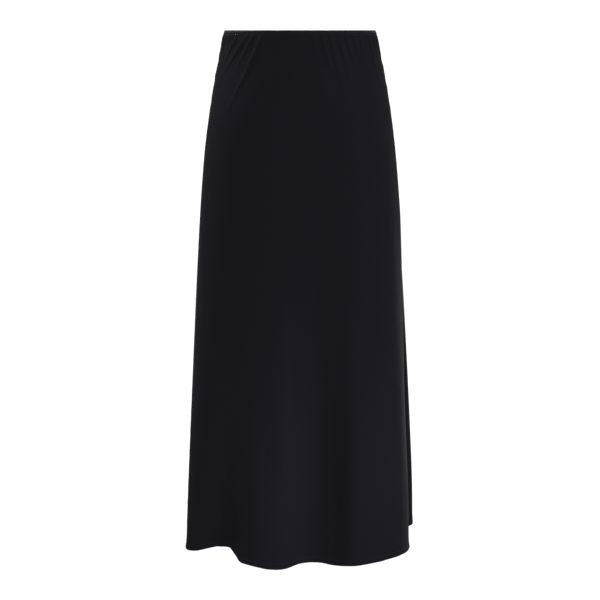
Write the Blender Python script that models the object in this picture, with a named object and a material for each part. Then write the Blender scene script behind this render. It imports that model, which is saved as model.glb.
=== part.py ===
"""Midi skirt in its worn shape: two bias-cut cloth panels gathered onto an elastic waist.

Units are metres and +Z is up.  The front faces -Y, and the picture's right is +X.
The origin is the middle of the waist opening, level with its top edge.

Every wall is a surface worked out at an angle round the figure and a drop below the waist.
Angle 0 is the middle of the front, 90 the right side seam, 180 the middle of the back
and 270 (or -90) the left side seam.  A level section is an oval near the waist and a
squarer one over the hips.  Lower down it turns little by little into the hem's outline,
with its crests and valleys, and the gathers under the waist are ridges raised on it.
"""
from collections import namedtuple
from math import cos, pi, sin

import bpy
import numpy as np

# ---------------------------------------------------------------- driving dimensions

LENGTH = 0.860            # waist edge to hem, at the front
CLOTH = 0.0012            # wall of the panels
SEAM_GAP = 0.0003         # between neighbouring pieces
EDGE_HEIGHT = 0.0055      # rolled cloth edge round the top of the waist
EDGE_PROUD = 0.0003       # how far that roll stands out from the panels
ELASTIC_HEIGHT = 0.029    # elastic band sewn inside the waist
ELASTIC_WALL = 0.0015
ELASTIC_EASE = 0.0010     # room between the panels' inner face and the band
HEM_TURN = 0.010          # height of the turned-up hem
HEM_WALL = 0.0020         # wall where the hem is doubled
HEM_STEP = 0.002          # the short stretch over which the wall thickens
HEM_KICK = 0.0012         # how far the stitched hem tips outwards
HEM_KICK_HEIGHT = 0.020   # the stretch above the hem over which it tips

PANEL_TOP = EDGE_HEIGHT + SEAM_GAP

SQUARENESS = 0.9          # how much squarer than an oval the skirt is over the hips and below
SQUARE_FROM = 0.03        # drop where it starts to turn squarer
SQUARE_GROWS = 0.17       # and the stretch over which it does

FINE_COLUMNS = 104        # columns of a panel under the waist, where the gathers are
COARSE_COLUMNS = FINE_COLUMNS // 2
BAND_COLUMNS = 96         # columns all round the waist edge and the elastic
ROLL_STEPS = 4            # flats over the rounded top of the waist edge

# Rows of points down a panel, as drops below the waist.
FINE_DROPS = (PANEL_TOP, 0.014, 0.024, 0.037, 0.053, 0.072, 0.095)
COARSE_DROPS = (0.125, 0.160, 0.205, 0.255, 0.310, 0.370, 0.430, 0.490, 0.550, 0.610,
                0.665, 0.720, 0.770, 0.815)

# How far the cloth reaches out each way, at each drop.
Section = namedtuple("Section", "drop left right front back")
SECTIONS = (
    Section(0.000, 0.1224, 0.1227, 0.0940, 0.0940),
    Section(0.020, 0.1266, 0.1271, 0.0982, 0.0988),
    Section(0.060, 0.1353, 0.1357, 0.1060, 0.1085),
    Section(0.120, 0.1456, 0.1463, 0.1140, 0.1215),
    Section(0.180, 0.1538, 0.1542, 0.1175, 0.1300),
    Section(0.260, 0.1611, 0.1616, 0.1200, 0.1335),
    Section(0.350, 0.1668, 0.1676, 0.1235, 0.1370),
    Section(0.500, 0.1747, 0.1776, 0.1305, 0.1440),
    Section(0.650, 0.1816, 0.1862, 0.1375, 0.1510),
    Section(0.800, 0.1875, 0.1926, 0.1430, 0.1575),
    Section(0.860, 0.1892, 0.1934, 0.1450, 0.1600),
)

# The hem's outline seen from above.  Each row gives the column that comes down to it,
# how far the hem rides up there, and the drops where its fold starts and settles.
HemPoint = namedtuple("HemPoint", "name angle x y rise starts settles")
HEM = (
    HemPoint("left seam", -90, -0.1890, -0.0300, 0.008, 0.42, 1.05),
    HemPoint("left lobe, side", -78, -0.1848, -0.0700, 0.0111, 0.43, 1.05),
    HemPoint("left lobe, front", -69, -0.1700, -0.0855, 0.0144, 0.43, 1.05),
    HemPoint("left lobe, slope", -58, -0.1500, -0.0850, 0.0192, 0.43, 1.05),
    HemPoint("left valley", -47, -0.1305, -0.0815, 0.0219, 0.43, 1.05),
    HemPoint("left valley, near side", -41.5, -0.1130, -0.0875, 0.0196, 0.42, 1.05),
    HemPoint("first crest, left flank", -37.5, -0.1045, -0.0985, 0.0105, 0.40, 1.05),
    HemPoint("first crest, left foot", -33.5, -0.0990, -0.1120, 0.0047, 0.38, 1.00),
    HemPoint("first crest, left top", -26, -0.0800, -0.1385, 0.0051, 0.34, 0.95),
    HemPoint("first crest", -17.5, -0.0530, -0.1425, 0.0001, 0.28, 0.86),
    HemPoint("first crest, right top", -9, -0.0270, -0.1350, -0.0019, 0.27, 0.80),
    HemPoint("first crest, right flank", 0, 0.0000, -0.1190, 0.0023, 0.27, 0.80),
    HemPoint("front valley", 9.5, 0.0285, -0.1050, 0.0003, 0.27, 0.80),
    HemPoint("second crest, left flank", 17.7, 0.0555, -0.1100, -0.0031, 0.28, 0.82),
    HemPoint("second crest", 26, 0.0815, -0.1235, -0.0006, 0.30, 0.90),
    HemPoint("second crest, right flank", 37, 0.1165, -0.1175, 0.0024, 0.34, 1.00),
    HemPoint("right front", 48, 0.1440, -0.1065, 0.0061, 0.36, 1.10),
    HemPoint("right side, front", 62, 0.1690, -0.0890, 0.0101, 0.32, 0.90),
    HemPoint("right edge", 77, 0.1811, -0.0430, 0.0090, 0.25, 0.60),
    HemPoint("right seam", 90, 0.1735, 0.0130, 0.0110, 0.25, 0.60),
    HemPoint("right back crest, near side", 98, 0.1775, 0.0400, 0.0170, 0.25, 0.60),
    HemPoint("right back crest", 106, 0.1930, 0.0560, 0.0215, 0.14, 0.68),
    HemPoint("right back crest, far side", 113, 0.1880, 0.0950, 0.0190, 0.13, 0.74),
    HemPoint("right back slope", 121, 0.1610, 0.1180, 0.0140, 0.15, 0.84),
    HemPoint("right back valley", 131, 0.1240, 0.1070, 0.0100, 0.26, 1.00),
    HemPoint("third crest, right flank", 143, 0.0920, 0.1330, 0.009, 0.34, 1.10),
    HemPoint("third crest", 154, 0.0560, 0.1580, 0.010, 0.36, 1.10),
    HemPoint("third crest, left flank", 163, 0.0240, 0.1440, 0.010, 0.34, 1.10),
    HemPoint("back valley", 171, -0.0010, 0.1240, 0.010, 0.34, 1.10),
    HemPoint("fourth crest, right flank", 181, -0.0310, 0.1310, 0.010, 0.38, 1.10),
    HemPoint("fourth crest", 193, -0.0690, 0.1550, 0.009, 0.40, 1.10),
    HemPoint("fourth crest, left top", 204, -0.1040, 0.1440, 0.008, 0.42, 1.10),
    HemPoint("fourth crest, left flank", 213, -0.1230, 0.1180, 0.007, 0.44, 1.10),
    HemPoint("left back valley", 222, -0.1390, 0.0990, 0.006, 0.46, 1.10),
    HemPoint("left back crest, far side", 232, -0.1620, 0.1080, 0.005, 0.44, 1.10),
    HemPoint("left back crest", 240, -0.1790, 0.0890, 0.004, 0.42, 1.10),
    HemPoint("left back flank", 250, -0.1760, 0.0570, 0.002, 0.42, 1.10),
    HemPoint("left seam, back", 260, -0.1815, 0.0280, 0.002, 0.42, 1.10),
)

# Ridges of cloth that run down from the waist edge, read off the front from left to
# right.  Each goes from one angle and drop to another; height and width are the ridge's.
Gather = namedtuple("Gather", "angle to_angle drop to_drop height width")
FRONT_GATHERS = (
    Gather(-86, -87, 0.004, 0.050, 0.0018, 0.0030),
    Gather(-79, -83, 0.004, 0.060, 0.0020, 0.0030),
    Gather(-72, -78, 0.004, 0.064, 0.0020, 0.0028),
    Gather(-65, -72, 0.004, 0.045, 0.0017, 0.0026),
    Gather(-59, -66, 0.004, 0.032, 0.0016, 0.0026),
    Gather(-53, -80, 0.004, 0.084, 0.0024, 0.0029),
    Gather(-47, -54, 0.004, 0.038, 0.0016, 0.0026),
    Gather(-41, -77, 0.003, 0.095, 0.0026, 0.0031),
    Gather(-35, -54, 0.004, 0.076, 0.0021, 0.0028),
    Gather(-29, -58, 0.004, 0.140, 0.0028, 0.0032),
    Gather(-24, -25, 0.003, 0.045, 0.0013, 0.0027),
    Gather(-18, -18, 0.003, 0.030, 0.0009, 0.0028),
    Gather(-10, -9, 0.003, 0.024, 0.0006, 0.0030),
    Gather(-2, -1, 0.003, 0.030, 0.0006, 0.0030),
    Gather(6, 10, 0.003, 0.055, 0.0011, 0.0032),
    Gather(13, 20, 0.004, 0.062, 0.0016, 0.0032),
    Gather(20, 30, 0.004, 0.078, 0.0018, 0.0034),
    Gather(27, 36, 0.004, 0.070, 0.0017, 0.0034),
    Gather(34, 43, 0.004, 0.074, 0.0017, 0.0034),
    Gather(41, 47, 0.004, 0.058, 0.0016, 0.0032),
    Gather(48, 54, 0.004, 0.066, 0.0016, 0.0032),
    Gather(55, 59, 0.004, 0.050, 0.0015, 0.0030),
    Gather(63, 68, 0.003, 0.090, 0.0024, 0.0032),
    Gather(70, 73, 0.004, 0.050, 0.0015, 0.0028),
    Gather(77, 80, 0.004, 0.064, 0.0018, 0.0030),
    Gather(84, 86, 0.004, 0.050, 0.0018, 0.0030),
)
GATHER_HEAD = 0.45        # share of its height that a ridge already has at the waist
GATHER_SWELL = 4          # a ridge is at full height this many times before its end
BACK_TURN = 181           # the back's gathers are the front's, turned to the back
BACK_LENGTHS = (1.0, 1.35, 0.8, 1.15, 0.9)     # and made longer or shorter in turn

OUTLINE_STEPS = 360       # samples round a section when its width is measured
SMALL_TURN = 0.2          # degrees, and a drop in metres: the steps over which
SMALL_DROP = 0.0005       # the surface's slopes are measured

BLACK_CREPE = (0.0103, 0.0098, 0.0137)
BLACK_ELASTIC = (0.0085, 0.0085, 0.0095)

# ------------------------------------------------------------------- reading a table


def smooth_read(keys, values, at):
    """Read a table at any place, along a smooth curve through its rows."""
    keys = np.asarray(keys, float)
    values = np.asarray(values, float)
    at = np.clip(np.asarray(at, float), keys[0], keys[-1])
    slopes = np.gradient(values, keys)
    row = np.clip(np.searchsorted(keys, at) - 1, 0, len(keys) - 2)
    step = keys[row + 1] - keys[row]
    t = (at - keys[row]) / step
    return (values[row] * (1 + 2 * t) * (1 - t) ** 2
            + values[row + 1] * t * t * (3 - 2 * t)
            + slopes[row] * step * t * (1 - t) ** 2
            - slopes[row + 1] * step * t * t * (1 - t))


def section(column, drop):
    """One named column of the section table, at a drop."""
    drops = [row.drop for row in SECTIONS]
    return smooth_read(drops, [getattr(row, column) for row in SECTIONS], drop)


def hem(column, angle):
    """One named column of the hem table, at an angle, read round and round."""
    rows = HEM[-3:] + HEM + HEM[:3]
    turns = [-360] * 3 + [0] * len(HEM) + [360] * 3
    keys = [row.angle + turn for row, turn in zip(rows, turns)]
    angle = (np.asarray(angle, float) + 90) % 360 - 90
    return smooth_read(keys, [getattr(row, column) for row in rows], angle)


def ease(t):
    """Go from 0 to 1 with a soft start and a soft end."""
    t = np.clip(t, 0, 1)
    return t * t * (3 - 2 * t)

# ------------------------------------------------------------------ the cloth surface


def fold_share(angle, drop):
    """How much of the hem's outline has come in at this place: 0 above the folds, 1 at the hem."""
    starts = hem("starts", angle)
    grows = hem("settles", angle) - starts
    return ease((drop - starts) / grows) / ease((LENGTH - starts) / grows)


def unit_outline(angle, drop):
    """The outline of a section before it is stretched to its own width and depth."""
    turn = np.radians(angle)
    share = fold_share(angle, drop)
    power = 2 + SQUARENESS * ease((drop - SQUARE_FROM) / SQUARE_GROWS)
    round_off = (np.abs(np.sin(turn)) ** power + np.abs(np.cos(turn)) ** power) ** (-1 / power)
    across = (1 - share) * np.sin(turn) * round_off + share * hem("x", angle) / section("left", LENGTH)
    hem_y = hem("y", angle)
    hem_reach = np.where(hem_y < 0, section("front", LENGTH), section("back", LENGTH))
    along = -(1 - share) * np.cos(turn) * round_off + share * hem_y / hem_reach
    return across, along


def gather_height(angle, drop):
    """How far the ridges under the waist stand out from the smooth cloth."""
    height = np.zeros(np.broadcast(angle, drop).shape)
    for back in (False, True):
        for number, row in enumerate(FRONT_GATHERS):
            length = BACK_LENGTHS[number % len(BACK_LENGTHS)] if back else 1.0
            turn = BACK_TURN if back else 0
            t = np.clip((drop - row.drop) / ((row.to_drop - row.drop) * length), 0, 1)
            ridge = turn + row.angle + (row.to_angle - row.angle) * t
            away = (np.asarray(angle) - ridge + 180) % 360 - 180
            turned = np.radians(ridge)
            reach = np.hypot(section("left", drop) * np.cos(turned),
                             section("front", drop) * np.sin(turned))
            across = np.radians(away) * reach / row.width
            along = GATHER_HEAD + (1 - GATHER_HEAD) * ease(GATHER_SWELL * t)
            along = along * (1 - ease(t))
            height = height + row.height * along * np.exp(-across ** 2)
    return height


def smooth_cloth(angle, drop):
    """The cloth's outer face without the gathers, as points (x, y, z).

    Each section is stretched so that its widest places reach as far as the table says.
    """
    angle = np.asarray(angle, float)
    drop = np.asarray(drop, float)
    angle, drop = np.broadcast_arrays(angle, drop)
    across, along = unit_outline(angle, drop)
    all_round = np.linspace(-90, 270, OUTLINE_STEPS, endpoint=False)
    outline = unit_outline(all_round, drop[..., None])[0]
    x = np.where(across < 0,
                 across * section("left", drop) / -outline.min(axis=-1),
                 across * section("right", drop) / outline.max(axis=-1))
    y = np.where(along < 0, along * section("front", drop), along * section("back", drop))
    rise = hem("rise", angle) * (drop / LENGTH) ** 3
    return np.stack([x, y, rise - drop], axis=-1)


def outward(points_at, angle, drop):
    """The direction that a surface faces, from its slopes round and down."""
    round_it = points_at(angle + SMALL_TURN, drop) - points_at(angle - SMALL_TURN, drop)
    down_it = points_at(angle, drop + SMALL_DROP) - points_at(angle, drop - SMALL_DROP)
    facing = np.cross(down_it, round_it)
    return facing / np.linalg.norm(facing, axis=-1, keepdims=True)


def cloth(angle, drop):
    """The cloth's outer face, with gathers and the hem's outward tip."""
    angle, drop = np.broadcast_arrays(np.asarray(angle, float), np.asarray(drop, float))
    tip = HEM_KICK * ease((drop - LENGTH + HEM_KICK_HEIGHT) / HEM_KICK_HEIGHT)
    raised = gather_height(angle, drop) + tip
    return smooth_cloth(angle, drop) + raised[..., None] * outward(smooth_cloth, angle, drop)

# ----------------------------------------------------------------------- mesh making


def make_object(name, points, faces, colour, roughness):
    """Make one closed mesh object with its own material."""
    mesh = bpy.data.meshes.new(name)
    mesh.from_pydata([tuple(point) for point in points], [], faces)
    mesh.validate()
    mesh.shade_smooth()
    material = bpy.data.materials.new(name)
    material.use_nodes = True
    shader = material.node_tree.nodes["Principled BSDF"]
    shader.inputs["Base Color"].default_value = (*colour, 1.0)
    shader.inputs["Roughness"].default_value = roughness
    shader.inputs["Metallic"].default_value = 0.0
    mesh.materials.append(material)
    piece = bpy.data.objects.new(name, mesh)
    bpy.context.collection.objects.link(piece)
    return piece


def panel_rows():
    """Every row of a panel from the waist to the hem: (drop, columns, wall)."""
    rows = [(drop, FINE_COLUMNS, CLOTH) for drop in FINE_DROPS]
    rows += [(drop, COARSE_COLUMNS, CLOTH) for drop in COARSE_DROPS]
    rows += [(LENGTH - HEM_TURN - HEM_STEP, COARSE_COLUMNS, CLOTH)]
    rows += [(LENGTH - HEM_TURN, COARSE_COLUMNS, HEM_WALL)]
    rows += [(LENGTH, COARSE_COLUMNS, HEM_WALL)]
    return rows


def row_points(first_angle, drop, columns, wall):
    """One row's outer and inner points, the ends kept clear of the side seams."""
    angles = np.linspace(first_angle, first_angle + 180, columns + 1)
    outer = cloth(angles, drop)
    facing = outward(cloth, angles, drop)
    for end, inwards in ((0, 1), (-1, -1)):
        along = cloth(angles[end] + inwards, drop) - outer[end]
        outer[end] += along / np.linalg.norm(along) * SEAM_GAP / 2
    return outer, outer - wall * facing


def strip_faces(upper, lower):
    """Faces between two rows of point numbers; the lower row may have half as many."""
    if len(upper) == len(lower):
        return [(upper[i], lower[i], lower[i + 1], upper[i + 1]) for i in range(len(upper) - 1)]
    faces = []
    for i in range(len(lower) - 1):
        left, middle, right = upper[2 * i:2 * i + 3]
        faces.append((left, lower[i], middle))
        faces.append((middle, lower[i], lower[i + 1]))
        faces.append((middle, lower[i + 1], right))
    return faces


def make_panel(name, first_angle, colour, roughness):
    """Half of the skirt, from one side seam round to the other, as one closed wall."""
    points = []
    outer_rows = []
    inner_rows = []
    for drop, columns, wall in panel_rows():
        outer, inner = row_points(first_angle, drop, columns, wall)
        start = len(points)
        outer_rows.append(list(range(start, start + columns + 1)))
        inner_rows.append(list(range(start + columns + 1, start + 2 * columns + 2)))
        points += list(outer) + list(inner)
    faces = []
    for upper, lower in zip(outer_rows, outer_rows[1:]):
        faces += strip_faces(upper, lower)
    for upper, lower in zip(inner_rows, inner_rows[1:]):
        faces += [face[::-1] for face in strip_faces(upper, lower)]
    faces += strip_faces(inner_rows[0], outer_rows[0])
    faces += strip_faces(outer_rows[-1], inner_rows[-1])
    for end in (0, -1):
        outer_side = [row[end] for row in outer_rows]
        inner_side = [row[end] for row in inner_rows]
        side = strip_faces(inner_side, outer_side)
        faces += side if end == -1 else [face[::-1] for face in side]
    return make_object(name, points, faces, colour, roughness)


def make_band(name, corners, colour, roughness):
    """A ring round the waist, from its section's corners as (how far in, drop) pairs."""
    angles = np.linspace(-90, 270, BAND_COLUMNS, endpoint=False)
    points = []
    for inset, drop in corners:
        facing = outward(smooth_cloth, angles, max(drop, 2 * SMALL_DROP))
        points += list(smooth_cloth(angles, drop) - inset * facing)
    faces = []
    for corner in range(len(corners)):
        upper = corner * BAND_COLUMNS
        lower = (corner + 1) % len(corners) * BAND_COLUMNS
        for i in range(BAND_COLUMNS):
            j = (i + 1) % BAND_COLUMNS
            faces.append((upper + i, lower + i, lower + j, upper + j))
    return make_object(name, points, faces, colour, roughness)


def waist_edge_corners():
    """The roll's section: rounded over the top, flat where it meets the panels."""
    outer = -EDGE_PROUD
    inner = CLOTH + ELASTIC_EASE + ELASTIC_WALL
    middle = (outer + inner) / 2
    half = (inner - outer) / 2
    corners = []
    for step in range(ROLL_STEPS + 1):
        turn = pi * step / ROLL_STEPS
        corners.append((middle + half * cos(turn), half * (1 - sin(turn))))
    corners.append((outer, EDGE_HEIGHT))
    corners.append((inner, EDGE_HEIGHT))
    return corners


def elastic_corners():
    """The band's section: a plain flat strip inside the panels."""
    outer = CLOTH + ELASTIC_EASE
    inner = outer + ELASTIC_WALL
    bottom = PANEL_TOP + ELASTIC_HEIGHT
    return [(inner, PANEL_TOP), (outer, PANEL_TOP), (outer, bottom), (inner, bottom)]


def main():
    for piece in list(bpy.data.objects):
        bpy.data.objects.remove(piece, do_unlink=True)
    make_panel("front_panel", -90, BLACK_CREPE, 0.55)
    make_panel("back_panel", 90, BLACK_CREPE, 0.55)
    make_band("waist_edge", waist_edge_corners(), BLACK_CREPE, 0.50)
    make_band("waist_elastic", elastic_corners(), BLACK_ELASTIC, 0.75)


main()
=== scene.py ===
# %% [markdown]
# # A black midi skirt, worn, with nobody in it
#
# The real skirt is two panels of black crepe cut on the bias and joined at the sides.  An
# elastic band is sewn inside the waist and draws the cloth in, so small creases run down
# from it.  Bias-cut cloth is soft, so the hem falls into a few deep, round flutes.
#
# In Blender such a skirt could be a simulated cloth, a sculpted tube or a surface that is
# worked out.  The folds here have to lie where the real ones lie, so this lesson works the
# surface out from short tables, and sewing, elastic and finish are modelled over it.

# %% Load the frame
from collections import namedtuple
from math import cos, pi, radians, sin

import bpy
import numpy as np
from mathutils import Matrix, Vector


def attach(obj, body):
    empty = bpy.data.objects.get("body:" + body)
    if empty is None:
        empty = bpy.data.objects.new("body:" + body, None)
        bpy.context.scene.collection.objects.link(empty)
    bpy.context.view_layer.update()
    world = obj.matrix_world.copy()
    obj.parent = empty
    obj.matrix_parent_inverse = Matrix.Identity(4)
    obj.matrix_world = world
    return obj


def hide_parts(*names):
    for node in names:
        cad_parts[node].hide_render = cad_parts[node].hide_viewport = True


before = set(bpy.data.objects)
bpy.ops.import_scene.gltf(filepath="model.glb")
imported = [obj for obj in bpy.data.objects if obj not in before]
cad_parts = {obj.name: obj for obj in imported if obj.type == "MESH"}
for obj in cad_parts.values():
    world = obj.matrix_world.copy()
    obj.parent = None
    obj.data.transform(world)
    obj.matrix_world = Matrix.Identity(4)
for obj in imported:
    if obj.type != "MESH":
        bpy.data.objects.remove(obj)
bpy.ops.object.select_all(action="DESELECT")
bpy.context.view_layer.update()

# %% [markdown]
# ## Colours and nodes
#
# A given colour is an sRGB hex value, while a shader adds up light, which is linear.
# One function turns the first into the second.  Another adds a node, sets it and links it,
# so that each material below reads as a short list.

# %% Two small helpers


def linear(hex_colour):
    """An sRGB hex colour as the linear RGBA that a shader works in."""
    parts = [int(hex_colour[i:i + 2], 16) / 255 for i in (1, 3, 5)]
    light = [p / 12.92 if p <= 0.04045 else ((p + 0.055) / 1.055) ** 2.4 for p in parts]
    return (*light, 1.0)


def add_node(tree, kind, **inputs):
    """Add a node; an input is a value, or another node's output to link to it."""
    node = tree.nodes.new(kind)
    for name, value in inputs.items():
        socket = node.inputs[name.replace("_", " ")]
        if isinstance(value, bpy.types.NodeSocket):
            tree.links.new(value, socket)
        else:
            socket.default_value = value
    return node


CREPE_BLACK = "#141318"
print("black crepe in linear light:", [round(v, 4) for v in linear(CREPE_BLACK)[:3]])

# %% [markdown]
# ## The cut and the fall of the cloth
#
# Two tables hold the skirt's shape.  One says how far the cloth reaches left, right, front
# and back at each drop below the waist.  The other draws the hem as seen from above: each
# row is a crest, a valley or a flank between them.  It has the angle of the column of cloth
# that comes down to it, its place across and along, how far it is lifted, and the drops where
# its fold starts and settles.  Angle 0 is the middle of the front, 90 the right seam, 180 the
# middle of the back and -90 the left seam.  All lengths are in metres.
#
# A simulated cloth would fall by itself, but each run would fold it somewhere else.  In a
# table, a fold stays where the real one is.

# %% Tables of the skirt's shape

LENGTH = 0.860

Section = namedtuple("Section", "drop left right front back")
SECTIONS = (
    Section(0.000, 0.1224, 0.1227, 0.0940, 0.0940),
    Section(0.020, 0.1266, 0.1271, 0.0982, 0.0988),
    Section(0.060, 0.1353, 0.1357, 0.1060, 0.1085),
    Section(0.120, 0.1456, 0.1463, 0.1140, 0.1215),
    Section(0.180, 0.1538, 0.1542, 0.1175, 0.1300),
    Section(0.260, 0.1611, 0.1616, 0.1200, 0.1335),
    Section(0.350, 0.1668, 0.1676, 0.1235, 0.1370),
    Section(0.500, 0.1747, 0.1776, 0.1305, 0.1440),
    Section(0.650, 0.1816, 0.1862, 0.1375, 0.1510),
    Section(0.800, 0.1875, 0.1926, 0.1430, 0.1575),
    Section(0.860, 0.1892, 0.1934, 0.1450, 0.1600),
)

HemPoint = namedtuple("HemPoint", "name angle x y rise starts settles")
HEM = (
    HemPoint("left seam", -90, -0.1890, -0.0300, 0.008, 0.42, 1.05),
    HemPoint("left lobe, side", -78, -0.1848, -0.0700, 0.0111, 0.43, 1.05),
    HemPoint("left lobe, front", -69, -0.1700, -0.0855, 0.0144, 0.43, 1.05),
    HemPoint("left lobe, slope", -58, -0.1500, -0.0850, 0.0192, 0.43, 1.05),
    HemPoint("left valley", -47, -0.1305, -0.0815, 0.0219, 0.43, 1.05),
    HemPoint("left valley, near side", -41.5, -0.1130, -0.0875, 0.0196, 0.42, 1.05),
    HemPoint("first crest, left flank", -37.5, -0.1045, -0.0985, 0.0105, 0.40, 1.05),
    HemPoint("first crest, left foot", -33.5, -0.0990, -0.1120, 0.0047, 0.38, 1.00),
    HemPoint("first crest, left top", -26, -0.0800, -0.1385, 0.0051, 0.34, 0.95),
    HemPoint("first crest", -17.5, -0.0530, -0.1425, 0.0001, 0.28, 0.86),
    HemPoint("first crest, right top", -9, -0.0270, -0.1350, -0.0019, 0.27, 0.80),
    HemPoint("first crest, right flank", 0, 0.0000, -0.1190, 0.0023, 0.27, 0.80),
    HemPoint("front valley", 9.5, 0.0285, -0.1050, 0.0003, 0.27, 0.80),
    HemPoint("second crest, left flank", 17.7, 0.0555, -0.1100, -0.0031, 0.28, 0.82),
    HemPoint("second crest", 26, 0.0815, -0.1235, -0.0006, 0.30, 0.90),
    HemPoint("second crest, right flank", 37, 0.1165, -0.1175, 0.0024, 0.34, 1.00),
    HemPoint("right front", 48, 0.1440, -0.1065, 0.0061, 0.36, 1.10),
    HemPoint("right side, front", 62, 0.1690, -0.0890, 0.0101, 0.32, 0.90),
    HemPoint("right edge", 77, 0.1811, -0.0430, 0.0090, 0.25, 0.60),
    HemPoint("right seam", 90, 0.1735, 0.0130, 0.0110, 0.25, 0.60),
    HemPoint("right back crest, near side", 98, 0.1775, 0.0400, 0.0170, 0.25, 0.60),
    HemPoint("right back crest", 106, 0.1930, 0.0560, 0.0215, 0.14, 0.68),
    HemPoint("right back crest, far side", 113, 0.1880, 0.0950, 0.0190, 0.13, 0.74),
    HemPoint("right back slope", 121, 0.1610, 0.1180, 0.0140, 0.15, 0.84),
    HemPoint("right back valley", 131, 0.1240, 0.1070, 0.0100, 0.26, 1.00),
    HemPoint("third crest, right flank", 143, 0.0920, 0.1330, 0.009, 0.34, 1.10),
    HemPoint("third crest", 154, 0.0560, 0.1580, 0.010, 0.36, 1.10),
    HemPoint("third crest, left flank", 163, 0.0240, 0.1440, 0.010, 0.34, 1.10),
    HemPoint("back valley", 171, -0.0010, 0.1240, 0.010, 0.34, 1.10),
    HemPoint("fourth crest, right flank", 181, -0.0310, 0.1310, 0.010, 0.38, 1.10),
    HemPoint("fourth crest", 193, -0.0690, 0.1550, 0.009, 0.40, 1.10),
    HemPoint("fourth crest, left top", 204, -0.1040, 0.1440, 0.008, 0.42, 1.10),
    HemPoint("fourth crest, left flank", 213, -0.1230, 0.1180, 0.007, 0.44, 1.10),
    HemPoint("left back valley", 222, -0.1390, 0.0990, 0.006, 0.46, 1.10),
    HemPoint("left back crest, far side", 232, -0.1620, 0.1080, 0.005, 0.44, 1.10),
    HemPoint("left back crest", 240, -0.1790, 0.0890, 0.004, 0.42, 1.10),
    HemPoint("left back flank", 250, -0.1760, 0.0570, 0.002, 0.42, 1.10),
    HemPoint("left seam, back", 260, -0.1815, 0.0280, 0.002, 0.42, 1.10),
)
print(len(SECTIONS), "sections and", len(HEM), "turns of the hem")

# %% [markdown]
# ## Gathers and soft creases
#
# The elastic is shorter than the cloth, so the cloth stands up in ridges along it.  On the
# left they are pulled out long and slant down to the side; on the right they are steep on
# one side and soft on the other, with a round swell hanging under them; the middle is almost
# smooth.  Each row is one ridge, from one angle and drop to another.  The soft creases
# further down are shallower and much wider, and a trough has a height below zero.  All are
# placed one by one and no two are alike, as on a real skirt.

# %% The gathers and creases

Gather = namedtuple("Gather", "angle to_angle drop to_drop height left_width right_width")
FRONT_GATHERS = (
    Gather(-86, -87, 0.004, 0.050, 0.0018, 0.0030, 0.0030),
    Gather(-79, -82, 0.004, 0.062, 0.0020, 0.0032, 0.0030),
    Gather(-71, -76, 0.004, 0.056, 0.0020, 0.0032, 0.0028),
    Gather(-64.5, -67, 0.004, 0.031, 0.0017, 0.0030, 0.0026),
    Gather(-58.5, -61, 0.004, 0.027, 0.0016, 0.0030, 0.0026),
    Gather(-52, -74, 0.005, 0.082, 0.0026, 0.0036, 0.0032),
    Gather(-46.5, -50, 0.004, 0.028, 0.0014, 0.0030, 0.0026),
    Gather(-41, -70, 0.004, 0.096, 0.0031, 0.0040, 0.0036),
    Gather(-36, -52, 0.005, 0.082, 0.0026, 0.0038, 0.0034),
    Gather(-28.5, -52, 0.004, 0.160, 0.0042, 0.0042, 0.0040),
    Gather(-24, -25, 0.003, 0.040, 0.0011, 0.0032, 0.0030),
    Gather(-17, -17, 0.003, 0.030, 0.0008, 0.0032, 0.0032),
    Gather(-9, -8, 0.003, 0.024, 0.0005, 0.0034, 0.0034),
    Gather(-1, -1, 0.003, 0.030, 0.0005, 0.0034, 0.0034),
    Gather(8.5, 13.5, 0.004, 0.062, 0.0016, 0.0026, 0.0066),
    Gather(15, 25, 0.004, 0.110, 0.0024, 0.0026, 0.0068),
    Gather(21.5, 31, 0.004, 0.128, 0.0025, 0.0028, 0.0066),
    Gather(28.5, 37, 0.004, 0.112, 0.0024, 0.0028, 0.0064),
    Gather(35, 41.5, 0.004, 0.080, 0.0024, 0.0028, 0.0062),
    Gather(41.5, 47.5, 0.004, 0.062, 0.0022, 0.0028, 0.0056),
    Gather(48, 53, 0.004, 0.068, 0.0021, 0.0028, 0.0050),
    Gather(54.5, 57.5, 0.004, 0.050, 0.0015, 0.0026, 0.0040),
    Gather(60.5, 63, 0.003, 0.096, 0.0040, 0.0036, 0.0036),
    Gather(69, 72, 0.004, 0.050, 0.0016, 0.0028, 0.0028),
    Gather(76, 79.5, 0.004, 0.064, 0.0018, 0.0030, 0.0030),
    Gather(84, 86, 0.004, 0.050, 0.0018, 0.0030, 0.0030),
)
GATHER_HEAD = 0.45     # a ridge's share of its height at the elastic
GATHER_SWELL = 4       # it has all of it after one part in four of its length
GATHER_PINCH = 0.45    # how much of the ridge is pinched to a narrow top
BACK_TURN = 181        # the back has the same ridges, turned round and of other lengths
BACK_LENGTHS = (1.0, 1.35, 0.8, 1.15, 0.9)

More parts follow.
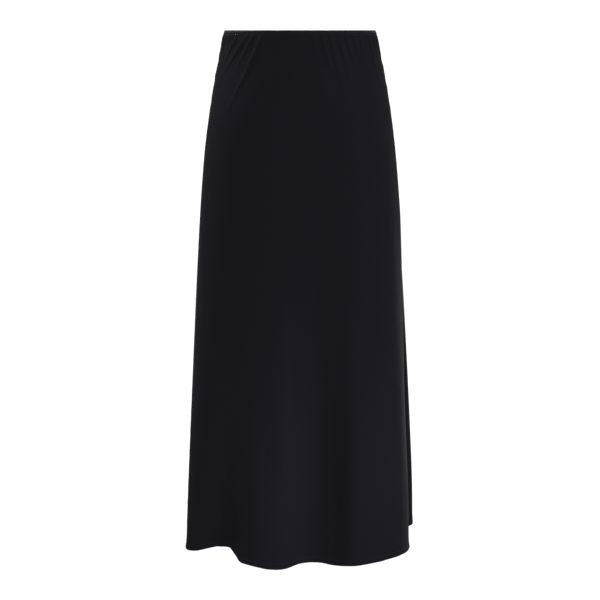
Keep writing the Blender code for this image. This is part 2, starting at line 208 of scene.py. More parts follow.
Crease = namedtuple("Crease", "name angle to_angle drop to_drop height left_width right_width")
CREASES = (
    Crease("left hip ridge", -36, -40, 0.180, 0.340, 0.0008, 0.010, 0.006),
    Crease("short trough near the middle", -2, -3, 0.034, 0.128, -0.0011, 0.0062, 0.0058),
    Crease("rounded swell under the right gathers", 12, 17, 0.045, 0.125, 0.0026, 0.012, 0.009),
    Crease("trough beside the swell", 20, 26, 0.050, 0.110, -0.0010, 0.005, 0.005),
    Crease("left valley swell", -49, -49, 0.450, 1.150, 0.0050, 0.030, 0.020),
    Crease("right hip swell", 50, 50, -0.060, 0.660, 0.0030, 0.050, 0.020),
    Crease("right front swell", 30, 30, 0.040, 0.420, 0.0016, 0.050, 0.016),
    Crease("first crest, pull line", -9.5, -9, 0.340, 0.960, 0.0060, 0.030, 0.0100),
    Crease("second crest, pull line", 28, 28, 0.380, 1.000, 0.0014, 0.012, 0.026),
    Crease("left side pull", -66, -74, 0.090, 0.230, 0.0010, 0.010, 0.010),
    Crease("seat pull, right", 160, 140, 0.060, 0.200, 0.0009, 0.008, 0.006),
    Crease("seat pull, left", 204, 226, 0.050, 0.170, 0.0009, 0.006, 0.008),
    Crease("seat hollow", 182, 180, 0.200, 0.420, -0.0012, 0.022, 0.022),
    Crease("back thigh ridge", 150, 156, 0.300, 0.560, 0.0015, 0.018, 0.008),
    Crease("back left pull", 216, 226, 0.240, 0.520, 0.0014, 0.008, 0.018),
    Crease("right seam pull", 96, 112, 0.070, 0.260, 0.0009, 0.009, 0.009),
    Crease("left seam pull", 262, 246, 0.080, 0.240, 0.0008, 0.009, 0.009),
)
print(2 * len(FRONT_GATHERS), "gathers and", len(CREASES), "soft creases")

# %% [markdown]
# ## Reading a table along a curve
#
# A cloth has no corners between one row of a table and the next, so a value between two rows
# is read along a smooth curve through them.  A straight line from row to row would be
# simpler, but it would show as a crease at each row.  The hem table is read round and round.

# %% Smooth reading


def ease(t):
    """Go from 0 to 1 with a soft start and a soft end."""
    t = np.clip(t, 0, 1)
    return t * t * (3 - 2 * t)


def smooth_read(keys, values, at):
    """Read a table at any place, along a smooth curve through its rows."""
    keys = np.asarray(keys, float)
    values = np.asarray(values, float)
    at = np.clip(np.asarray(at, float), keys[0], keys[-1])
    slopes = np.gradient(values, keys)
    row = np.clip(np.searchsorted(keys, at) - 1, 0, len(keys) - 2)
    step = keys[row + 1] - keys[row]
    t = (at - keys[row]) / step
    return (values[row] * (1 + 2 * t) * (1 - t) ** 2
            + values[row + 1] * t * t * (3 - 2 * t)
            + slopes[row] * step * t * (1 - t) ** 2
            - slopes[row + 1] * step * t * t * (1 - t))


def section(column, drop):
    """One named column of the section table, at a drop."""
    drops = [row.drop for row in SECTIONS]
    return smooth_read(drops, [getattr(row, column) for row in SECTIONS], drop)


def hem(column, angle):
    """One named column of the hem table, at an angle, read round and round."""
    rows = HEM[-3:] + HEM + HEM[:3]
    turns = [-360] * 3 + [0] * len(HEM) + [360] * 3
    keys = [row.angle + turn for row, turn in zip(rows, turns)]
    angle = (np.asarray(angle, float) + 90) % 360 - 90
    return smooth_read(keys, [getattr(row, column) for row in rows], angle)


print("the hem at the middle of the front is", float(hem("y", 0)), "m from the axis")

# %% [markdown]
# ## The cloth as one smooth surface
#
# A level section starts as an oval at the waist and grows a little squarer over the hips.
# Lower down it turns into the hem's outline, each fold at its own height, and it is then
# stretched to the width that the section table gives.  A loft through a few drawn curves
# could do that too, but all its folds would start at the same height.

# %% The smooth surface

SQUARENESS = 0.9       # 0 is an oval, and more goes towards a box with round corners
SQUARE_FROM = 0.03
SQUARE_GROWS = 0.17
OUTLINE_STEPS = 360    # places round a section where its widest points are looked for
RISE_POWER = 3         # the lift of the hem dies away quickly above it


def fold_share(angle, drop):
    """How much of the hem's outline has come in: 0 above the folds, 1 at the hem."""
    starts = hem("starts", angle)
    grows = hem("settles", angle) - starts
    return ease((drop - starts) / grows) / ease((LENGTH - starts) / grows)


def unit_outline(angle, drop):
    """The outline of a section before it is stretched to its own width and depth."""
    turn = np.radians(angle)
    share = fold_share(angle, drop)
    power = 2 + SQUARENESS * ease((drop - SQUARE_FROM) / SQUARE_GROWS)
    round_off = (np.abs(np.sin(turn)) ** power + np.abs(np.cos(turn)) ** power) ** (-1 / power)
    across = ((1 - share) * np.sin(turn) * round_off
              + share * hem("x", angle) / section("left", LENGTH))
    hem_y = hem("y", angle)
    hem_reach = np.where(hem_y < 0, section("front", LENGTH), section("back", LENGTH))
    along = -(1 - share) * np.cos(turn) * round_off + share * hem_y / hem_reach
    return across, along


def smooth_cloth(angle, drop):
    """The cloth's outer face without its small forms, as points (x, y, z)."""
    angle = np.asarray(angle, float)
    drop = np.asarray(drop, float)
    across, along = unit_outline(angle, drop)
    all_round = np.linspace(-90, 270, OUTLINE_STEPS, endpoint=False)
    outline = unit_outline(all_round, drop[..., None])[0]
    x = np.where(across < 0,
                 across * section("left", drop) / -outline.min(axis=-1),
                 across * section("right", drop) / outline.max(axis=-1))
    y = np.where(along < 0, along * section("front", drop), along * section("back", drop))
    z = hem("rise", angle) * (drop / LENGTH) ** RISE_POWER - drop
    return np.stack(np.broadcast_arrays(x, y, z), axis=-1)


print("the waist is", round(float(2 * section("left", 0.0)), 4), "m wide")

# %% [markdown]
# ## Where a ridge lies
#
# A small form is a move along the direction that the smooth surface faces, so it never shifts
# a fold sideways.  That direction comes from two short steps on the surface, one round and
# one down.  A ridge runs along its row and falls away to both sides like a bell curve, which
# is how a soft cloth rounds off.

# %% Directions and ridges

SMALL_TURN = 0.2       # degrees
SMALL_DROP = 0.0005


def outward(points_at, angle, drop):
    """The direction that a surface faces, from its slopes round and down."""
    round_it = points_at(angle + SMALL_TURN, drop) - points_at(angle - SMALL_TURN, drop)
    down_it = points_at(angle, drop + SMALL_DROP) - points_at(angle, drop - SMALL_DROP)
    facing = np.cross(down_it, round_it)
    return facing / np.linalg.norm(facing, axis=-1, keepdims=True)


def turn_metres(angle, drop):
    """How many metres of cloth one radian of turn covers, near enough for a ridge's width."""
    turn = np.radians(angle)
    return np.hypot(section("left", drop) * np.cos(turn), section("front", drop) * np.sin(turn))


def ridge(angle, drop, row, widths, turn=0, length=1.0):
    """Place along a row (0 to 1) and the smooth hump across it, which may lean to one side."""
    t = np.clip((drop - row.drop) / ((row.to_drop - row.drop) * length), 0, 1)
    middle = turn + row.angle + (row.to_angle - row.angle) * t
    away = np.radians((angle - middle + 180) % 360 - 180)
    width = np.where(away < 0, widths[0], widths[1])
    return t, np.exp(-(away * turn_metres(middle, drop) / width) ** 2)


print("the front faces", outward(smooth_cloth, np.array(0.0), np.array(0.4)).round(2))

# %% [markdown]
# ## Heights of the small forms
#
# Gathers, creases and sewing each give a height in metres at any angle and drop, and the
# finished cloth is the smooth surface with the three added.  They could be sculpted with a
# brush, but a number can be read, compared and moved by half a millimetre.

# %% Gathers, creases and sewn lines

ROLL_LIP = 0.0035      # where the panels start, under the waist roll
LIP_EASE = 0.0075      # the gathers grow over this drop, so they end under the roll
SEAMS = ((-90, 0.0), (90, 1.3))
SEAM_PUCKER = 0.00035
SEAM_REACH = 0.012
PUCKER_WAVE = 0.031
SMALL_PUCKER_WAVE = 0.0173
HEM_KICK = 0.0012      # the turned hem is stiffer than the cloth, and stands out a little
HEM_KICK_HEIGHT = 0.020
HEM_RIPPLE = 0.00030
HEM_WAVES = 31         # ripples round the hem, and finer ones between
FINE_HEM_WAVES = 53
HEM_WAVE_SLANT = 260
HEM_STITCH_LINE = LENGTH - 0.0085
STITCH_LINE_HALF = 0.0012
STITCH_LINE_DEPTH = 0.00025


def gather_height(angle, drop):
    """How far the ridges under the waist stand out from the smooth cloth."""
    height = 0
    for turn in (0, BACK_TURN):
        for number, row in enumerate(FRONT_GATHERS):
            length = BACK_LENGTHS[number % len(BACK_LENGTHS)] if turn else 1.0
            t, hump = ridge(angle, drop, row, (row.left_width, row.right_width), turn, length)
            hump = (1 - GATHER_PINCH) * hump + GATHER_PINCH * hump ** 3
            along = GATHER_HEAD + (1 - GATHER_HEAD) * ease(GATHER_SWELL * t)
            height = height + row.height * along * (1 - ease(t)) * hump
    return height * ease((drop - ROLL_LIP) / LIP_EASE)


def crease_height(angle, drop):
    """The soft creases: each swells from nothing and dies away again."""
    height = 0
    for row in CREASES:
        t, hump = ridge(angle, drop, row, (row.left_width, row.right_width))
        height = height + row.height * np.sin(pi * t) ** 2 * hump
    return height


def sewn_height(angle, drop):
    """Puckers along the side seams, and the ripples and stitched line of the hem."""
    height = 0
    for seam, shift in SEAMS:
        away = np.radians((angle - seam + 180) % 360 - 180) * turn_metres(seam, drop)
        wave = (np.sin(drop * 2 * pi / PUCKER_WAVE + shift)
                + 0.6 * np.sin(drop * 2 * pi / SMALL_PUCKER_WAVE))
        height = height + SEAM_PUCKER * wave * np.exp(-(away / SEAM_REACH) ** 2)
    near_hem = ease((drop - LENGTH + HEM_KICK_HEIGHT) / HEM_KICK_HEIGHT)
    turn = np.radians(angle)
    ripple = np.sin(turn * HEM_WAVES + drop * HEM_WAVE_SLANT) + 0.7 * np.sin(turn * FINE_HEM_WAVES)
    line = np.exp(-((drop - HEM_STITCH_LINE) / STITCH_LINE_HALF) ** 2)
    return height + near_hem * (HEM_KICK + HEM_RIPPLE * ripple) - STITCH_LINE_DEPTH * line


def cloth(angle, drop, inset=0.0):
    """The finished cloth's outer face, or a place a little inside it."""
    angle = np.asarray(angle, float)
    drop = np.asarray(drop, float)
    raised = gather_height(angle, drop) + crease_height(angle, drop) + sewn_height(angle, drop)
    facing = outward(smooth_cloth, angle, drop)
    return smooth_cloth(angle, drop) + (raised - inset)[..., None] * facing


print("the gathers reach", round(float(gather_height(np.arange(-90, 90), 0.02).max()) * 1000, 1), "mm")

# %% [markdown]
# ## Rows and columns of a panel
#
# Each panel is a fine grid of points on that surface, from one side seam round to the other.
# Rows lie close together under the waist and at the hem, where small forms are, and further
# apart between.  At the bottom the grid goes round a tight fold and up the inside again, as
# the real hem is turned.  A Subdivision Surface modifier could make the grid finer, but it
# would be as fine where the cloth is plain, and round off the gathers.

# %% The grid of a panel

GATHERS_END = 0.145
HEM_BEGINS = 0.838
GATHER_ROW = 0.0024
PLAIN_ROW = 0.0086
HEM_ROW = 0.0015
HEM_TURN = 0.010
HEM_FOLD = 0.0009      # the turned cloth lies twice this far inside
HEM_FOLD_STEPS = 6
HEM_INSIDE = (0.25, 0.5, 0.75, 1.0)
SEAM_GAP = 0.08        # degrees from the seam to each panel's edge
SEAM_ROLL = ((0.0, 0.0010), (0.35, 0.0004), (0.9, 0.0001), (1.6, 0.0))
PANEL_COLUMNS = 290


def panel_rows():
    """(drop, how far in) for every row, from under the waist roll to inside the hem."""
    drops = np.concatenate([
        np.arange(ROLL_LIP, GATHERS_END, GATHER_ROW),
        np.arange(GATHERS_END, HEM_BEGINS, PLAIN_ROW),
        np.arange(HEM_BEGINS, LENGTH - HEM_FOLD, HEM_ROW)])
    rows = [(drop, 0.0) for drop in drops]
    for step in range(HEM_FOLD_STEPS + 1):
        turn = pi * step / HEM_FOLD_STEPS
        rows.append((LENGTH - HEM_FOLD * (1 - sin(turn)), HEM_FOLD * (1 - cos(turn))))
    rows += [(LENGTH - part * HEM_TURN, 2 * HEM_FOLD) for part in HEM_INSIDE]
    return np.array(rows)


def panel_columns(first_angle):
    """(angle, how far in) for every column; the cloth rolls in at both seams."""
    left = [(first_angle + SEAM_GAP + turn, inset) for turn, inset in SEAM_ROLL]
    right = [(first_angle + 180 - SEAM_GAP - turn, inset) for turn, inset in reversed(SEAM_ROLL)]
    middle = np.linspace(left[-1][0], right[0][0], PANEL_COLUMNS)[1:-1]
    return np.array(left + [(angle, 0.0) for angle in middle] + right)


print("a panel has", len(panel_rows()), "rows and", len(panel_columns(-90)), "columns")

# %% [markdown]
# ## From points to cloth
#
# The grid becomes a mesh with its own UV map, which is the cloth laid flat in metres, so that
# the weave follows the cloth and not the room.  A Solidify modifier then gives it the
# thickness of real crepe.

# %% The two panels

CLOTH = 0.0006


def grid_mesh(name, points, uv=None):
    """A mesh from a grid of points (rows, columns, 3), with its own UV map in metres."""
    rows, columns = points.shape[:2]
    number = np.arange(rows * columns).reshape(rows, columns)
    quads = np.stack([number[:-1, :-1], number[1:, :-1], number[1:, 1:], number[:-1, 1:]], axis=-1)
    mesh = bpy.data.meshes.new(name)
    mesh.from_pydata(points.reshape(-1, 3).tolist(), [], quads.reshape(-1, 4).tolist())
    if uv is not None:
        layer = mesh.uv_layers.new(name="flat_cloth")
        corners = np.empty(len(mesh.loops), dtype=np.int32)
        mesh.loops.foreach_get("vertex_index", corners)
        layer.data.foreach_set("uv", uv.reshape(-1, 2)[corners].ravel())
    mesh.shade_smooth()
    piece = bpy.data.objects.new(name, mesh)
    bpy.context.collection.objects.link(piece)
    return piece


def flat_metres(points):
    """How far each point lies across and down the cloth when it is spread out flat."""
    across = np.linalg.norm(np.diff(points, axis=1), axis=-1)
    across = np.concatenate([np.zeros((len(points), 1)), np.cumsum(across, axis=1)], axis=1)
    across -= across[:, across.shape[1] // 2][:, None]
    down = np.linalg.norm(np.diff(points, axis=0), axis=-1).mean(axis=1)
    down = np.concatenate([[0], np.cumsum(down)])[:, None]
    return np.stack(np.broadcast_arrays(across, -down), axis=-1)


def apply_modifier(piece, kind, **settings):
    """Add a modifier to a piece, set it and apply it."""
    bpy.context.view_layer.objects.active = piece
    modifier = piece.modifiers.new(kind.title(), kind)
    for name, value in settings.items():
        setattr(modifier, name, value)
    bpy.ops.object.modifier_apply(modifier=modifier.name)


def make_panel(name, first_angle):
    """One panel of the skirt, with its turned hem, as cloth of real thickness."""
    rows = panel_rows()
    columns = panel_columns(first_angle)
    inset = rows[:, 1][:, None] + columns[:, 1][None, :]
    points = cloth(columns[:, 0][None, :], rows[:, 0][:, None], inset)
    flat = flat_metres(points)
    panel = grid_mesh(name, points, flat)
    last_plain_row = -(HEM_FOLD_STEPS + 1 + len(HEM_INSIDE)) - 1
    print(name, "is", round(float(np.ptp(flat[0, :, 0])), 3), "m wide at the waist and",
          round(float(np.ptp(flat[last_plain_row, :, 0])), 3), "m at the hem")
    apply_modifier(panel, "SOLIDIFY", thickness=CLOTH, offset=-1.0)
    print(name, "has", sum(len(face.vertices) - 2 for face in panel.data.polygons), "triangles")
    return panel


front_cloth = make_panel("front_cloth", -90)
back_cloth = make_panel("back_cloth", 90)

# %% [markdown]
# ## The waist: a rolled edge and an elastic
#
# The top of the cloth is turned over the elastic and drawn tight, which leaves a thin round
# roll.  Inside hangs the elastic, a woven band with a rib for each rubber cord.  Both are
# plain rings, so each is drawn as by hand: a circle is made oval and extruded from ring to
# ring, and the last ring is bridged to the first.  Each ring is a pair: how far it lies
# inside the cloth, and its drop.  The roll is then made a little uneven, as drawn cloth is.

# %% Waist roll and elastic band

EDGE_HEIGHT = 0.0055
PANEL_TOP = EDGE_HEIGHT + 0.0003
BAND_COLUMNS = 288
ROLL_MIDDLE = 0.0016
ROLL_HALF = 0.0020
ROLL_TUCK = ((-0.0005, 0.0034), (-0.0003, 0.0046), (0.0004, 0.0054), (0.0034, 0.0054))
ROLL_UNEVEN = 0.0006
ROLL_UNEVEN_SIZE = 0.009
ELASTIC_HEIGHT = 0.029
ELASTIC_WALL = 0.0015
ELASTIC_INSET = 0.0022
ELASTIC_RIBS = 10
RIB_STEPS = 6
RIB_RELIEF = 0.0004
RIB_ROUNDNESS = 0.6    # below 1 a rib is round with a sharp groove beside it


def draw_ring(name, rings):
    """A closed band round the waist, from rings given as (how far in, drop)."""
    bpy.ops.mesh.primitive_circle_add(vertices=BAND_COLUMNS, radius=1.0)
    band = bpy.context.active_object
    band.name = band.data.name = name
    bpy.ops.object.mode_set(mode="EDIT")
    wide, deep, high = 1.0, 1.0, 0.0
    for number, (inset, drop) in enumerate(rings):
        if number:
            bpy.ops.mesh.extrude_region_move()
        new_wide = float(section("left", drop)) - inset
        new_deep = float(section("front", drop)) - inset
        bpy.ops.transform.resize(value=(new_wide / wide, new_deep / deep, 1.0))
        bpy.ops.transform.translate(value=(0.0, 0.0, -drop - high))
        wide, deep, high = new_wide, new_deep, -drop
    bpy.ops.mesh.select_all(action="DESELECT")
    bpy.ops.mesh.select_non_manifold()
    bpy.ops.mesh.bridge_edge_loops()
    bpy.ops.mesh.select_all(action="SELECT")
    bpy.ops.mesh.normals_make_consistent(inside=False)
    bpy.ops.object.mode_set(mode="OBJECT")
    bpy.ops.object.shade_smooth()
    return band


def roll_rings():
    """The roll's section: round over the top, tucked in where the panels start."""
    turns = [pi * step / 8 for step in range(9)]
    rings = [(ROLL_MIDDLE + ROLL_HALF * cos(turn), ROLL_HALF * (1 - sin(turn))) for turn in turns]
    return rings + list(ROLL_TUCK)


def elastic_rings():
    """The band's section: a flat back and a face with one round rib for each cord."""
    top, bottom = PANEL_TOP, PANEL_TOP + ELASTIC_HEIGHT
    rings = [(ELASTIC_INSET, bottom), (ELASTIC_INSET, top)]
    steps = ELASTIC_RIBS * RIB_STEPS
    for step in range(steps + 1):
        part = step / steps
        bulge = abs(sin(pi * part * ELASTIC_RIBS)) ** RIB_ROUNDNESS
        wall = ELASTIC_WALL - RIB_RELIEF * (1 - bulge)
        rings.append((ELASTIC_INSET + wall, top + (bottom - top) * part))
    return rings


waist_roll = draw_ring("waist_roll", roll_rings())
unevenness = bpy.data.textures.new("uneven roll", "CLOUDS")
unevenness.noise_scale = ROLL_UNEVEN_SIZE
apply_modifier(waist_roll, "DISPLACE", texture=unevenness, strength=ROLL_UNEVEN, mid_level=0.5)
elastic_band = draw_ring("elastic_band", elastic_rings())
print("roll", len(waist_roll.data.polygons), "faces; elastic", len(elastic_band.data.polygons))

# %% [markdown]
# ## One stitch, many times
#
# A machine stitch is a short thread that dips into the cloth at both ends.  One is shaped
# from a sphere, and one mesh is then made of all its copies, each turned to lie from its
# start to its end.  An Array modifier along a curve could repeat it too, but it would not
# know which way the cloth faces.

# %% A stitch and its copies

THREAD = 0.00016


def model_stitch(length):
    """One stitch along X, lying on the XY plane."""
    bpy.ops.mesh.primitive_uv_sphere_add(segments=6, ring_count=6, radius=1.0)
    stitch = bpy.context.active_object
    bpy.ops.object.mode_set(mode="EDIT")
    bpy.ops.mesh.select_all(action="SELECT")
    bpy.ops.transform.rotate(value=pi / 2, orient_axis="Y")
    bpy.ops.transform.resize(value=(length / 2, THREAD, THREAD))
    bpy.ops.object.mode_set(mode="OBJECT")
    return stitch


def unit(vectors):
    """The same directions with length 1."""
    return vectors / np.linalg.norm(vectors, axis=-1, keepdims=True)


def repeat_stitch(name, stitch, starts, ends, facing):
    """One piece made of many copies of a stitch, each from a start to an end."""
    shape = np.array([vertex.co for vertex in stitch.data.vertices])
    faces = [list(face.vertices) for face in stitch.data.polygons]
    along = unit(ends - starts)
    side = unit(np.cross(facing, along))
    turns = np.stack([along, side, np.cross(along, side)], axis=-1)
    points = np.einsum("nij,vj->nvi", turns, shape) + ((starts + ends) / 2)[:, None]
    all_faces = [[corner + copy * len(shape) for corner in face]
                 for copy in range(len(starts)) for face in faces]
    mesh = bpy.data.meshes.new(name)
    mesh.from_pydata(points.reshape(-1, 3).tolist(), [], all_faces)
    mesh.shade_smooth()
    piece = bpy.data.objects.new(name, mesh)
    bpy.context.collection.objects.link(piece)
    print(name, "has", len(starts), "stitches")
    return piece


sample = model_stitch(0.0020)
print("a stitch has", len(sample.data.polygons), "faces")
bpy.data.objects.remove(sample, do_unlink=True)

# %% [markdown]
# ## Sewing round the skirt
#
# A skirt like this has a straight row round the hem, one under the waist roll, and a zigzag
# that holds the elastic.  Sewing machines space their stitches along the cloth, so each row
# is measured along the finished cloth with its folds, and not by its angle.

# %% Rows of stitches

ROUND_STEPS = 2400    # places round a row where the length of the cloth is added up
HEM_PITCH = 0.0026
WAIST_PITCH = 0.0024
STITCH_SPACE = 0.0006
STITCH_AIM = 0.7       # a stitch is centred over this share of the way to the next one
WAIST_STITCH_LINE = 0.0066
ZIGZAG_PITCH = 0.0020
ZIGZAG_TOP = 0.0112
ZIGZAG_MIDDLE = 0.012
ZIGZAG_HEIGHT = 0.0016
ZIGZAG_STITCH = 0.0026


def even_angles(drop, pitch):
    """Angles all round the skirt that are one pitch of cloth apart."""
    fine = np.linspace(-90, 270, ROUND_STEPS + 1)
    steps = np.linalg.norm(np.diff(cloth(fine, drop), axis=0), axis=-1)
    length = np.concatenate([[0], np.cumsum(steps)])
    count = int(length[-1] / pitch)
    return np.interp(np.arange(count) * length[-1] / count, length, fine)


def straight_row(name, drop, inset, pitch):
    """A straight row of machine stitches all round the skirt."""
    angles = even_angles(drop, pitch)
    places = cloth(angles, drop, inset)
    steps = np.roll(places, -1, axis=0) - places
    facing = outward(cloth, angles, drop)
    stitch = model_stitch(pitch - STITCH_SPACE)
    row = repeat_stitch(name, stitch, places, places + steps * STITCH_AIM, facing)
    bpy.data.objects.remove(stitch, do_unlink=True)
    return row


def zigzag_row(name):
    """The zigzag that holds the elastic, on the band's inner face."""
    angles = even_angles(ZIGZAG_MIDDLE, ZIGZAG_PITCH)
    drops = ZIGZAG_TOP + ZIGZAG_HEIGHT * (np.arange(len(angles)) % 2)
    facing = outward(smooth_cloth, angles, drops)
    places = smooth_cloth(angles, drops) - facing * (ELASTIC_INSET + ELASTIC_WALL)
    stitch = model_stitch(ZIGZAG_STITCH)
    row = repeat_stitch(name, stitch, places, np.roll(places, -1, axis=0), facing)
    bpy.data.objects.remove(stitch, do_unlink=True)
    return row


hem_stitches = straight_row("hem_stitches", HEM_STITCH_LINE, 0.0, HEM_PITCH)
hem_stitches_inside = straight_row("hem_stitches_inside", HEM_STITCH_LINE, 2 * HEM_FOLD, HEM_PITCH)
waist_stitches = straight_row("waist_stitches", WAIST_STITCH_LINE, 0.0, WAIST_PITCH)
elastic_stitches = zigzag_row("elastic_stitches")

# %% [markdown]
# ## Seam allowances
#
# Inside each side seam the two panels' edges are overlocked together and pressed to the
# back, a doubled strip about 9 mm wide.  It closes the seam's groove from behind, so no
# light comes through, and it runs from the waist roll to the hem's edge.  Its raw edge is
# bound by threads that slant over it.  The strip is a narrow grid that lies on the inside of
# the same surface, so it follows the seam wherever that goes.

# %% Seam allowances

ALLOWANCE = 0.009
ALLOWANCE_WALL = 0.0009
ALLOWANCE_ACROSS = (-0.0012, 0.0, 0.002, 0.004, 0.006, 0.008, ALLOWANCE)
ALLOWANCE_ROWS = 230
ALLOWANCE_INSET = 0.0026
ALLOWANCE_CURL = 0.0008
ALLOWANCE_WAVE = 0.0003
WAVES_DOWN = 150       # radians a metre, down the strip and across it
WAVES_ACROSS = 400
ENDS_SHORT = 0.001
OVERLOCK_PITCH = 0.0028
OVERLOCK_BITE = 0.0045
OVERLOCK_STITCH = 0.0049
OVERLOCK_TOP = 0.004
OVERLOCK_END = 0.013


def allowance_point(seam, towards, across, drop):
    """A place on the inside of a side seam, so many metres across towards the back."""
    drop = np.asarray(drop, float)
    angle = seam + towards * np.degrees(across / turn_metres(seam, drop))
    inset = (ALLOWANCE_INSET + ALLOWANCE_CURL * (across / ALLOWANCE) ** 2
             + ALLOWANCE_WAVE * np.sin(drop * WAVES_DOWN + across * WAVES_ACROSS))
    return smooth_cloth(angle, drop) - inset[..., None] * outward(smooth_cloth, angle, drop)


def make_allowance(name, seam, towards):
    """The strip inside one side seam, and the overlock thread along its raw edge."""
    drops = np.linspace(PANEL_TOP - ENDS_SHORT, LENGTH - ENDS_SHORT, ALLOWANCE_ROWS)[:, None]
    points = allowance_point(seam, towards, np.array(ALLOWANCE_ACROSS)[None, :], drops)
    strip = grid_mesh(name, points if towards > 0 else points[:, ::-1])
    apply_modifier(strip, "SOLIDIFY", thickness=ALLOWANCE_WALL, offset=-1.0)
    drops = np.arange(PANEL_TOP + OVERLOCK_TOP, LENGTH - OVERLOCK_END, OVERLOCK_PITCH)
    across = np.full(len(drops), ALLOWANCE)
    edge = allowance_point(seam, towards, across, drops)
    inner = allowance_point(seam, towards, across - OVERLOCK_BITE, drops + OVERLOCK_PITCH / 2)
    facing = outward(smooth_cloth, np.full(len(drops), float(seam)), drops)
    away = facing * (ALLOWANCE_WALL + THREAD)
    stitch = model_stitch(OVERLOCK_STITCH)
    overlock = repeat_stitch(name + "_overlock", stitch, inner - away, edge - away, away)
    bpy.data.objects.remove(stitch, do_unlink=True)
    return strip, overlock


right_allowance, right_overlock = make_allowance("right_allowance", 90, 1)
left_allowance, left_overlock = make_allowance("left_allowance", 270, -1)

# %% [markdown]
# ## Fabrics and thread
#
# Crepe is woven from hard-twisted yarn, so its face is finely pebbled and nearly without
# gloss.  The pebbles are a noise of their real size in the bump, turned by 45 degrees on the
# panels, because they are cut on the bias.  A picture of crepe could be laid on instead, but
# it would blur close up and repeat from afar.  A fabric's specular level starts at 0.5 and
# is brought down until its edges are as dull as the real ones; a folded edge of black cloth
# is hardly brighter than the cloth beside it.

# %% Materials

PEBBLE = 0.0006        # metres: two hard-twisted yarns of 0.3 mm
PEBBLE_DEPTH = 0.00006
BIAS = pi / 4


def fabric(name, colour, roughness, specular, grain_depth, grain_size, use_uv=False):
    """A woven black cloth: a Principled shader with a fine pebbled bump."""
    material = bpy.data.materials.new(name)
    material.use_nodes = True
    tree = material.node_tree
    tree.nodes.clear()
    place = add_node(tree, "ShaderNodeTexCoord").outputs["UV" if use_uv else "Object"]
    turned = add_node(tree, "ShaderNodeMapping", Vector=place, Rotation=(0.0, 0.0, BIAS))
    pebbles = add_node(tree, "ShaderNodeTexNoise", Vector=turned.outputs["Vector"],
                       Scale=1 / grain_size, Detail=2.0)
    bump = add_node(tree, "ShaderNodeBump", Height=pebbles.outputs["Fac"],
                    Strength=1.0, Distance=grain_depth)
    shader = add_node(tree, "ShaderNodeBsdfPrincipled", Base_Color=linear(colour),
                      Roughness=roughness, Specular_IOR_Level=specular,
                      Normal=bump.outputs["Normal"])
    add_node(tree, "ShaderNodeOutputMaterial", Surface=shader.outputs["BSDF"])
    return material


# Polyester crepe, woven and piece-dyed: a deep, slightly blue black with almost no gloss.
crepe = fabric("Black polyester crepe", CREPE_BLACK, 0.60, 0.003,
               PEBBLE_DEPTH, PEBBLE, use_uv=True)
# The same crepe drawn tight over the elastic: pulled smoother, so it has a little gloss.
rolled_crepe = fabric("Black polyester crepe, rolled", "#151419", 0.50, 0.02,
                      PEBBLE_DEPTH, PEBBLE)
# Elastic woven from rubber cords in a textured yarn: dull, and a neutral black.
woven_elastic = fabric("Black woven elastic", "#111113", 0.80, 0.10, 0.00004, 0.0005)
# Spun polyester thread: its twist shows as a fine grain, and it is glossier than the cloth.
thread = fabric("Black polyester thread", "#151418", 0.45, 0.25, 0.00001, 0.0002)

looks = {
    crepe: (front_cloth, back_cloth),
    rolled_crepe: (waist_roll, right_allowance, left_allowance),
    woven_elastic: (elastic_band,),
    thread: (hem_stitches, hem_stitches_inside, waist_stitches, elastic_stitches,
             right_overlock, left_overlock)}
for material, pieces in looks.items():
    for piece in pieces:
        piece.data.materials.clear()
        piece.data.materials.append(material)
print("materials:", ", ".join(material.name for material in looks))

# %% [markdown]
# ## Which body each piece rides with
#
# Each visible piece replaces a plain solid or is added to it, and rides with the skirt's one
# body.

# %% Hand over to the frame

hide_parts("front_panel")
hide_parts("back_panel")
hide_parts("waist_edge")
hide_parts("waist_elastic")
pieces = [piece for group in looks.values() for piece in group]
for piece in pieces:
    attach(piece, "root")
print(len(pieces), "pieces ride with the skirt")

# %% [markdown]
# ## Stage
#
# The skirt is shown in the air, as worn, over a pale floor, and white light comes from all
# round, so a fold turns dark where its neighbours shade it.  A backdrop on a wall could
# take the floor's place, but the floor also throws light up under the hem.

# %% Floor and surroundings

FLOOR = -1.05
FLOOR_SIZE = 14.0

bpy.ops.mesh.primitive_plane_add(size=FLOOR_SIZE, location=(0.0, 0.0, FLOOR))
floor = bpy.context.active_object
floor.name = "studio_floor"
paper = bpy.data.materials.new("White paper floor")
paper.use_nodes = True
paper.node_tree.nodes.clear()
matt = add_node(paper.node_tree, "ShaderNodeBsdfPrincipled", Base_Color=linear("#F4F4F4"),
                Roughness=1.0, Specular_IOR_Level=0.0)
add_node(paper.node_tree, "ShaderNodeOutputMaterial", Surface=matt.outputs["BSDF"])
floor.data.materials.append(paper)

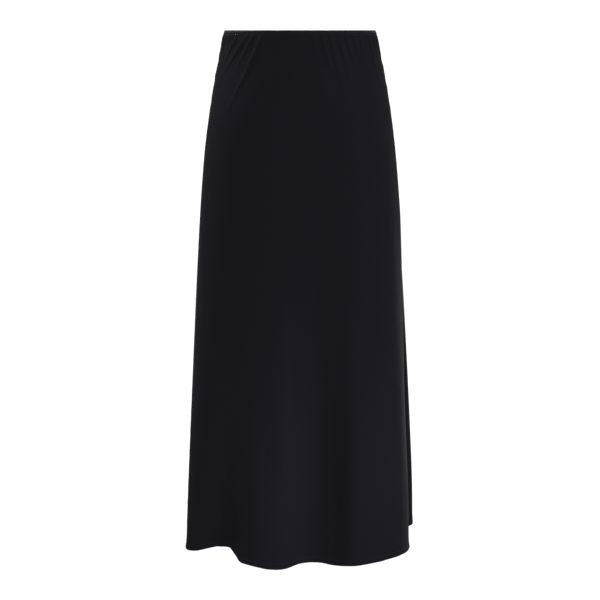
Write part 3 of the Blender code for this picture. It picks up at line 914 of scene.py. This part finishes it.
world = bpy.data.worlds.new("Studio")
bpy.context.scene.world = world
world.use_nodes = True
world.node_tree.nodes["Background"].inputs["Color"].default_value = linear("#FFFFFF")
world.node_tree.nodes["Background"].inputs["Strength"].default_value = 1.2
print("the floor is", round(-FLOOR - LENGTH, 3), "m below the hem")

# %% [markdown]
# ## Lights and camera
#
# Black cloth shows its folds by what little it throws back, so each light has one job.  The
# right softbox makes every fold brighter on its right side, and the crest softbox, with a
# grid that narrows its beam, picks out the first crest.  The left one stands high behind the
# waist and grazes the long gathers, so they show as thin bright lines, and the edge one
# draws the line down the right edge.  The camera is level with the waist, as for the real
# skirt, so the hem is seen as a curve.

# %% Lights and camera

Softbox = namedtuple("Softbox", "name place target size watts spread")
SOFTBOXES = (
    Softbox("right_softbox", (2.6, -0.85, -0.6), (0.0, 0.0, -0.6), 0.8, 29, 180),
    Softbox("crest_softbox", (1.50, -1.67, -0.70), (-0.03, -0.12, -0.71), 0.3, 0.165, 13),
    Softbox("left_softbox", (-1.40, 0.50, 1.0), (-0.08, -0.05, -0.05), 0.5, 1.8, 40),
    Softbox("top_softbox", (0.3, -0.4, 2.0), (0.0, 0.0, 0.0), 0.8, 10, 180),
    Softbox("edge_softbox", (1.3, 1.3, -0.66), (0.17, 0.0, -0.64), 0.4, 0.40, 22),
)
CAMERA_PLACE = (0.0, -3.0, 0.0)
CAMERA_TARGET = (0.0, 0.0, -0.442)
CAMERA_LENS = 109.86   # millimetres, on a sensor 36 mm wide


def aim(thing, target):
    """Turn a light or a camera to look at a place."""
    towards = Vector(target) - thing.location
    thing.rotation_euler = towards.to_track_quat("-Z", "Y").to_euler()


for box in SOFTBOXES:
    bpy.ops.object.light_add(type="AREA", location=box.place)
    lamp = bpy.context.active_object
    lamp.name = box.name
    lamp.data.size = box.size
    lamp.data.energy = box.watts
    lamp.data.spread = radians(box.spread)
    aim(lamp, box.target)

bpy.ops.object.camera_add(location=CAMERA_PLACE)
camera = bpy.context.active_object
camera.data.lens = CAMERA_LENS
camera.data.sensor_width = 36.0
aim(camera, CAMERA_TARGET)
bpy.context.scene.camera = camera
bpy.context.scene.view_settings.view_transform = "Standard"
print(len(SOFTBOXES), "softboxes; camera", round(camera.location.length, 2), "m from the waist")
